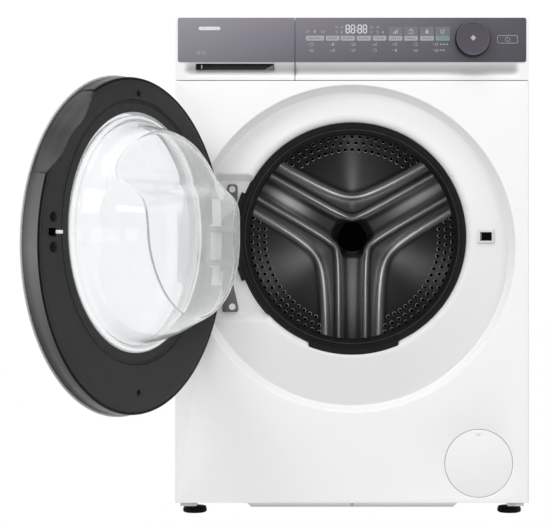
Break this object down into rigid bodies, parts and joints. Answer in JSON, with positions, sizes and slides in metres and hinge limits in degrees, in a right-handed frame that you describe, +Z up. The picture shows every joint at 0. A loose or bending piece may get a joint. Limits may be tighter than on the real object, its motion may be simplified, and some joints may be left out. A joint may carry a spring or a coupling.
{
  "type": "front load washing machine",
  "caption": "Free-standing front load washing machine with a round glass door, detergent drawer, programme dial and sprung tub with a belt-driven drum.",
  "frame": {"origin": "on the floor, midway between the four feet", "axes": "+Z up, +X to the user's right, +Y from the front face to the back"},
  "size_m": [0.7791, 1.0512, 0.845],
  "materials": {
    "white_enamel": "satin",
    "white_laminate": "satin",
    "white_plastic": "satin",
    "fascia_grey": "gloss",
    "dial_metal": "satin",
    "seal_rubber": "matt",
    "door_dark": "satin",
    "door_silver": "satin",
    "window_tint": "gloss",
    "bowl_glass": "gloss",
    "drum_steel": "brushed",
    "bright_steel": "satin",
    "galvanised": "satin",
    "cast_aluminium": "cast",
    "tub_plastic": "satin",
    "concrete": "rough",
    "grey_plastic": "satin",
    "hinge_metal": "satin",
    "black_rubber": "matt",
    "motor_metal": "satin",
    "circuit_board": "satin"
  },
  "bodies": {
    "cabinet": {"cabinet_shell": "white_enamel", "front_panel": "white_enamel", "worktop": "white_laminate", "base_tray": "grey_plastic", "rear_cover": "galvanised", "lower_apron": "white_plastic", "console_housing": "white_plastic", "fascia_panel": "fascia_grey", "control_board": "circuit_board", "door_lock": "grey_plastic", "hinge_bracket": "hinge_metal", "hinge_pin": "bright_steel", "door_seal": "seal_rubber", "dispenser_housing": "tub_plastic", "fill_hose": "seal_rubber", "inlet_valve": "white_plastic", "drain_pump": "grey_plastic", "sump_hose": "seal_rubber", "drain_outlet": "grey_plastic", "mains_gland": "black_rubber", "transit_caps": "white_plastic", "top_braces": "galvanised", "damper_cylinders": "grey_plastic", "lock_nuts": "bright_steel", "panel_screws": "bright_steel"},
    "tub": {"tub_front": "tub_plastic", "tub_rear": "tub_plastic", "counterweight_front": "concrete", "counterweight_top": "concrete", "heater": "bright_steel", "bearings": "bright_steel", "motor_housing": "motor_metal", "suspension_springs": "bright_steel", "damper_rods": "bright_steel", "drive_belt": "black_rubber"},
    "drum": {"drum_shell": "drum_steel", "drum_back": "drum_steel", "drum_lifters": "drum_steel", "drum_spider": "cast_aluminium", "drum_shaft": "bright_steel", "drum_pulley": "cast_aluminium"},
    "motor": {"motor_rotor": "motor_metal"},
    "door": {"door_frame": "door_dark", "door_trim": "door_silver", "door_window": "window_tint", "door_glass": "bowl_glass", "hinge_leaves": "bright_steel", "door_buffers": "black_rubber"},
    "hook": {"door_hook": "white_plastic"},
    "drawer": {"drawer_tray": "white_plastic", "drawer_front": "white_plastic", "drawer_fascia": "fascia_grey"},
    "dial": {"dial_knob": "dial_metal"},
    "power": {"power_button": "fascia_grey"},
    "hatch": {"filter_hatch": "white_plastic"},
    "filter": {"filter_cap": "grey_plastic"},
    "foot_1": {"foot_front_left": "black_rubber"},
    "foot_2": {"foot_front_right": "black_rubber"},
    "foot_3": {"foot_rear_left": "black_rubber"},
    "foot_4": {"foot_rear_right": "black_rubber"}
  },
  "joints": [
    {"name": "door_hinge", "type": "hinge", "parent": "cabinet", "child": "door", "pos_m": [-0.244, -0.277, 0.4586], "axis": [0, 0, 1], "range_deg": [0, 116.5]},
    {"name": "door_hook_pivot", "type": "hinge", "parent": "door", "child": "hook", "pos_m": [-0.44655, -0.70119, 0.476], "axis": [0, 0, 1], "range_deg": [0, 5], "stiffness_Nm_per_rad": 0.3, "springref_deg": -2.86},
    {"name": "tub_bounce", "type": "slide", "parent": "cabinet", "child": "tub", "axis": [0, 0, 1], "range_m": [-0.01, 0.01], "stiffness_N_per_m": 40000, "springref_m": 0.012, "deforming": ["suspension_springs", "fill_hose", "sump_hose", "door_seal"]},
    {"name": "drum_spin", "type": "hinge", "parent": "tub", "child": "drum", "pos_m": [0, 0, 0.485], "axis": [0, 1, 0], "continuous": true},
    {"name": "motor_spin", "type": "hinge", "parent": "tub", "child": "motor", "pos_m": [-0.125, 0, 0.152], "axis": [0, 1, 0], "continuous": true},
    {"name": "drawer_slide", "type": "slide", "parent": "cabinet", "child": "drawer", "axis": [0, -1, 0], "range_m": [0, 0.24]},
    {"name": "dial_turn", "type": "hinge", "parent": "cabinet", "child": "dial", "pos_m": [0.2034, -0.28, 0.808], "axis": [0, 1, 0], "continuous": true},
    {"name": "power_press", "type": "slide", "parent": "cabinet", "child": "power", "axis": [0, 1, 0], "range_m": [0, 0.001], "stiffness_N_per_m": 600, "springref_m": -0.001},
    {"name": "hatch_hinge", "type": "hinge", "parent": "cabinet", "child": "hatch", "pos_m": [0.214, -0.28, 0.037], "axis": [1, 0, 0], "range_deg": [0, 90]},
    {"name": "filter_turn", "type": "hinge", "parent": "cabinet", "child": "filter", "pos_m": [0.214, -0.25, 0.092], "axis": [0, -1, 0], "range_deg": [0, 270]},
    {"name": "foot_1_screw", "type": "hinge", "parent": "cabinet", "child": "foot_1", "pos_m": [-0.272, -0.2, 0], "axis": [0, 0, -1], "range_deg": [-360, 1080]},
    {"name": "foot_2_screw", "type": "hinge", "parent": "cabinet", "child": "foot_2", "pos_m": [0.272, -0.2, 0], "axis": [0, 0, -1], "range_deg": [-360, 1080]},
    {"name": "foot_3_screw", "type": "hinge", "parent": "cabinet", "child": "foot_3", "pos_m": [-0.272, 0.2, 0], "axis": [0, 0, -1], "range_deg": [-360, 1080]},
    {"name": "foot_4_screw", "type": "hinge", "parent": "cabinet", "child": "foot_4", "pos_m": [0.272, 0.2, 0], "axis": [0, 0, -1], "range_deg": [-360, 1080]}
  ],
  "couplings": [
    {"joint": "motor_spin", "follows": "drum_spin", "ratio": 11.667}
  ]
}
